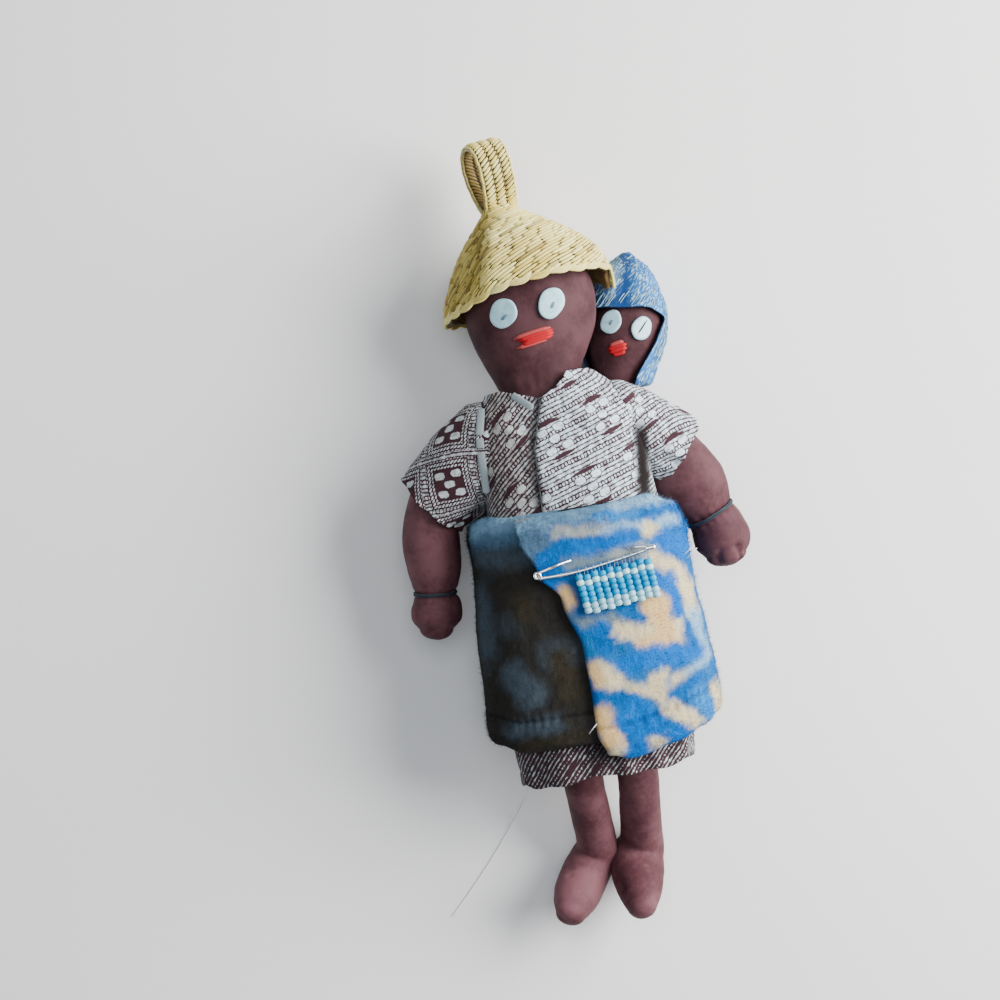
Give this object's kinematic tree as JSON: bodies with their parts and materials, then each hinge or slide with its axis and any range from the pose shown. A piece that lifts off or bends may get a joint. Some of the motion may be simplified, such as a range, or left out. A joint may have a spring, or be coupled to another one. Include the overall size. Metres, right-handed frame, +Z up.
{
  "type": "mother and child cloth doll",
  "caption": "Stuffed cloth doll in a peaked straw hat and print dress, wrapped in a fleece blanket that holds a hooded child on its back.",
  "frame": {"origin": "on the ground under the middle of the lying doll's footprint, without the loose thread", "axes": "+Y along the doll from its feet to its hat, +Z up out of its front, +X to the mother's left hand"},
  "size_m": [0.096, 0.2083, 0.0512],
  "materials": {
    "brown_knit": "smooth matt stocking knit over stuffing",
    "pearl_disc": "pale bluish pearl disc, softly glossy",
    "red_thread": "a few strands of red thread",
    "plaited_straw": "plaited dry grass, satin strands with dark gaps",
    "printed_cotton": "thin cotton, fine white print on maroon brown",
    "fleece": "brushed fleece, bright blue, tan and charcoal areas",
    "plated_steel": "bright plated wire",
    "seed_beads": "opaque glass seed beads, turquoise and white rows",
    "grey_thread": "twisted grey thread",
    "blue_woven_cotton": "blue cotton with white slanting threads",
    "white_thread": "single white sewing thread"
  },
  "bodies": {
    "root": {"mother_head_and_torso": "brown_knit", "mother_right_arm": "brown_knit", "mother_left_arm": "brown_knit", "mother_right_leg": "brown_knit", "mother_left_leg": "brown_knit", "mother_right_eye": "pearl_disc", "mother_left_eye": "pearl_disc", "mother_mouth": "red_thread", "straw_hat": "plaited_straw", "dress": "printed_cotton", "blanket": "fleece", "safety_pin": "plated_steel", "bead_tag": "seed_beads", "right_wrist_tie": "grey_thread", "left_wrist_tie": "grey_thread", "baby_head_and_body": "brown_knit", "baby_hood": "blue_woven_cotton", "baby_right_eye": "pearl_disc", "baby_left_eye": "pearl_disc", "baby_mouth": "red_thread", "loose_thread": "white_thread"}
  },
  "joints": []
}
